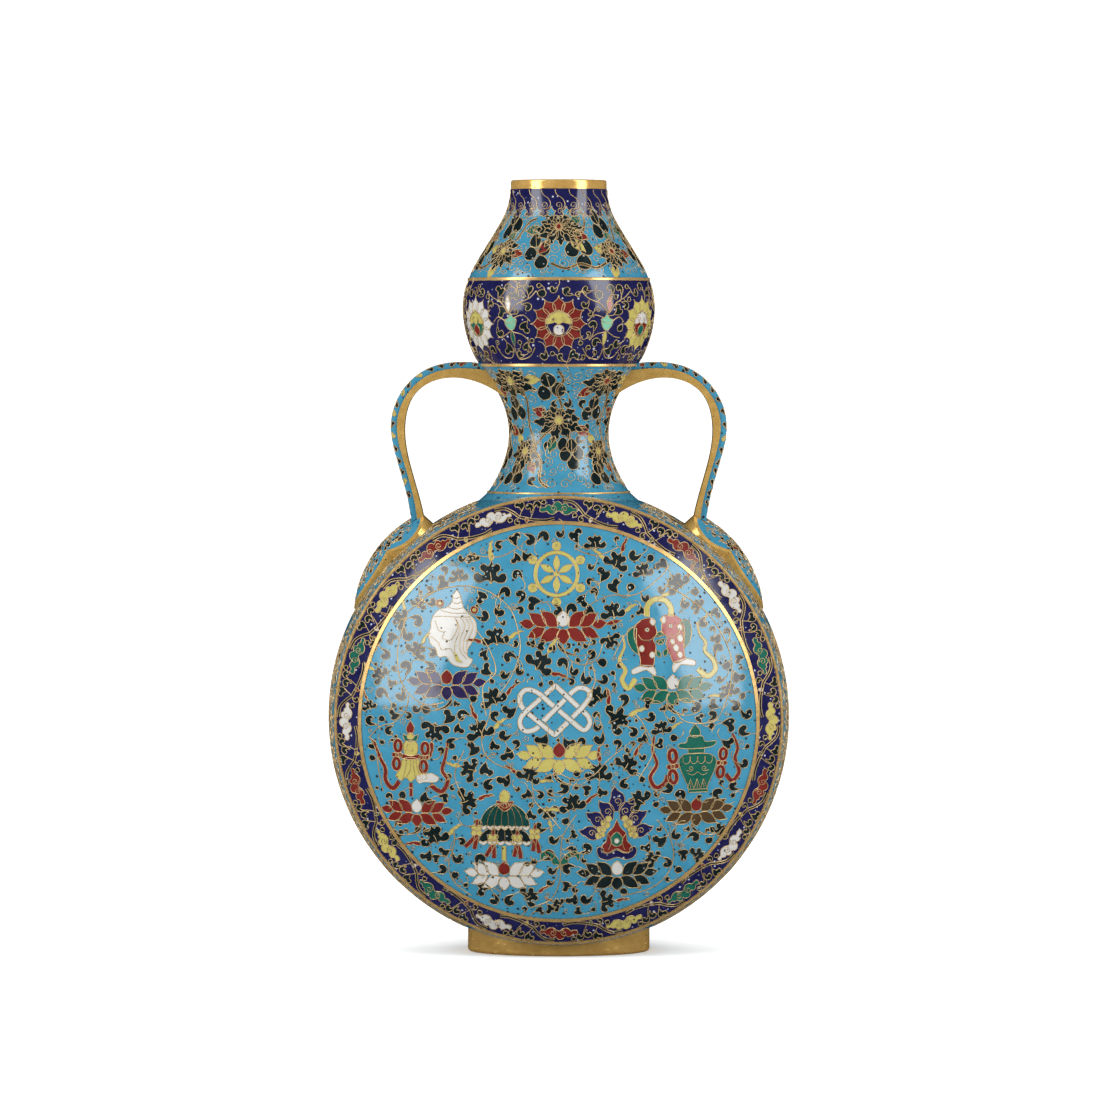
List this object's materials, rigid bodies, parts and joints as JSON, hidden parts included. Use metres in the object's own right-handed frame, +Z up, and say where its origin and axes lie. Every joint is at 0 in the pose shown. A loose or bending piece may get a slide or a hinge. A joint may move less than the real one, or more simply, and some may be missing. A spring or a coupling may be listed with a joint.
{
  "type": "cloisonne moon flask vase",
  "caption": "Double-gourd moon flask vase in cloisonne enamel on copper, with a round flattened body, strap handles and an oval foot.",
  "frame": {"origin": "centre of the foot on the plane it stands on", "axes": "+Z up, +X to the right of a viewer facing the decorated front, the two round faces look along -Y (front) and +Y (back)"},
  "size_m": [0.1492, 0.105, 0.25],
  "materials": {
    "gilt": "fire-gilt copper, softly brushed with small pits",
    "copper": "raised copper with a dull brown oxide inside",
    "turquoise": "opaque turquoise enamel, polished, with fine pits",
    "navy": "opaque dark blue enamel, polished, with fine pits",
    "colours": "small cells of red, yellow, green, white, purple, brown and black enamel, polished"
  },
  "bodies": {
    "root": {"body_front_shell": "copper", "body_back_shell": "copper", "neck_shell": "copper", "bulb_shell": "copper", "base_plate": "gilt", "mouth_rim": "gilt", "foot_ring": "gilt", "front_medallion_enamel": "turquoise", "back_medallion_enamel": "turquoise", "front_border_enamel": "navy", "back_border_enamel": "navy", "front_inner_band": "gilt", "back_inner_band": "gilt", "front_outer_band": "gilt", "back_outer_band": "gilt", "left_side_enamel": "turquoise", "right_side_enamel": "turquoise", "skirt_enamel": "turquoise", "neck_enamel": "turquoise", "bulb_lower_enamel": "navy", "bulb_upper_enamel": "turquoise", "collar_enamel": "navy", "neck_base_band": "gilt", "bulb_base_band": "gilt", "bulb_belt_band": "gilt", "left_handle": "gilt", "right_handle": "gilt", "left_handle_enamel": "turquoise", "right_handle_enamel": "turquoise", "left_pad_enamel": "turquoise", "right_pad_enamel": "turquoise"}
  },
  "joints": []
}
